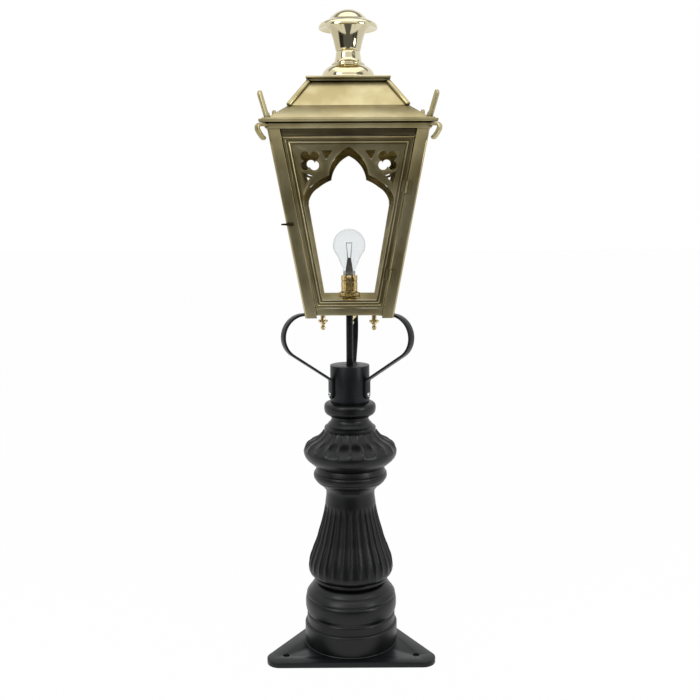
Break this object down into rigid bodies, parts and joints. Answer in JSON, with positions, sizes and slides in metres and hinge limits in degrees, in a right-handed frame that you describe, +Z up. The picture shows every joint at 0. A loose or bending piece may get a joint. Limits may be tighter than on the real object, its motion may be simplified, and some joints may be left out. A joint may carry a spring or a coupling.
{
  "type": "post top lantern",
  "caption": "Square tapered brass lantern with pierced Gothic panels, hinged door and finial, on black straps and a fluted cast pedestal with a triangular bolt-down plate.",
  "frame": {"origin": "on the pedestal's axis at the underside of the base plate", "axes": "+Z up the axis, -Y towards the lantern's door, +X to the right of the door"},
  "size_m": [0.3134, 0.3333, 1.1842],
  "materials": {
    "antique_brass": "antiqued, satin, with darker recesses",
    "pale_brass": "polished pale gold",
    "polished_brass": "polished",
    "dark_bronze": "dark bronzed",
    "black_iron": "satin black paint",
    "steel_fittings": "plain",
    "clear_glass": "clear",
    "moulded_insulator": "moulded",
    "lead_sheath": "matt",
    "lamp_wire": "wire"
  },
  "bodies": {
    "lantern": {"base_plate": "black_iron", "base_tray": "antique_brass", "bottom_frame": "antique_brass", "catch_screw": "antique_brass", "collar": "black_iron", "contact_block": "moulded_insulator", "core_tube": "black_iron", "corner_crocket_1": "antique_brass", "corner_crocket_2": "antique_brass", "corner_crocket_3": "antique_brass", "corner_crocket_4": "antique_brass", "corner_post_front_left": "antique_brass", "corner_post_front_right": "antique_brass", "corner_post_rear_left": "antique_brass", "corner_post_rear_right": "antique_brass", "cornice": "antique_brass", "finial_base": "pale_brass", "finial_cap": "pale_brass", "finial_nuts": "polished_brass", "fret_left": "antique_brass", "fret_rear": "antique_brass", "fret_right": "antique_brass", "glass_left": "clear_glass", "glass_rear": "clear_glass", "glass_right": "clear_glass", "hinge_post_leaves": "antique_brass", "hip_beads": "antique_brass", "inline_connector": "moulded_insulator", "lamp_lead": "lead_sheath", "lampholder_base": "polished_brass", "lampholder_shell": "polished_brass", "panel_frame_left": "antique_brass", "panel_frame_rear": "antique_brass", "panel_frame_right": "antique_brass", "pedestal_capital": "black_iron", "pedestal_foot": "black_iron", "pedestal_shaft": "black_iron", "roof_cap": "antique_brass", "roof_hood": "antique_brass", "roof_skirt": "antique_brass", "shade_ring": "polished_brass", "stem_tube": "black_iron", "strap_1": "black_iron", "strap_2": "black_iron", "strap_3": "black_iron", "strap_screws": "steel_fittings", "top_frame": "antique_brass", "tray_bolts": "steel_fittings"},
    "door": {"door_frame": "antique_brass", "fret_front": "antique_brass", "glass_front": "clear_glass", "hinge_door_leaves": "antique_brass"},
    "catch": {"door_catch": "dark_bronze"},
    "lamp": {"lamp_glass": "clear_glass", "lamp_cap": "polished_brass", "filament_mount": "lamp_wire"}
  },
  "joints": [
    {"name": "door_hinge", "type": "hinge", "parent": "lantern", "child": "door", "pos_m": [0.08366, -0.10703, 0.79686], "axis": [0.1711, -0.1711, 0.9703], "range_deg": [0, 110]},
    {"name": "catch_turn", "type": "hinge", "parent": "lantern", "child": "catch", "pos_m": [-0.09827, -0.10727, 0.81033], "axis": [0, -0.9848, -0.1736], "range_deg": [0, 180]},
    {"name": "lamp_twist", "type": "hinge", "parent": "lantern", "child": "lamp", "pos_m": [0, 0, 0.71], "axis": [0, 0, 1], "range_deg": [0, 23]}
  ]
}
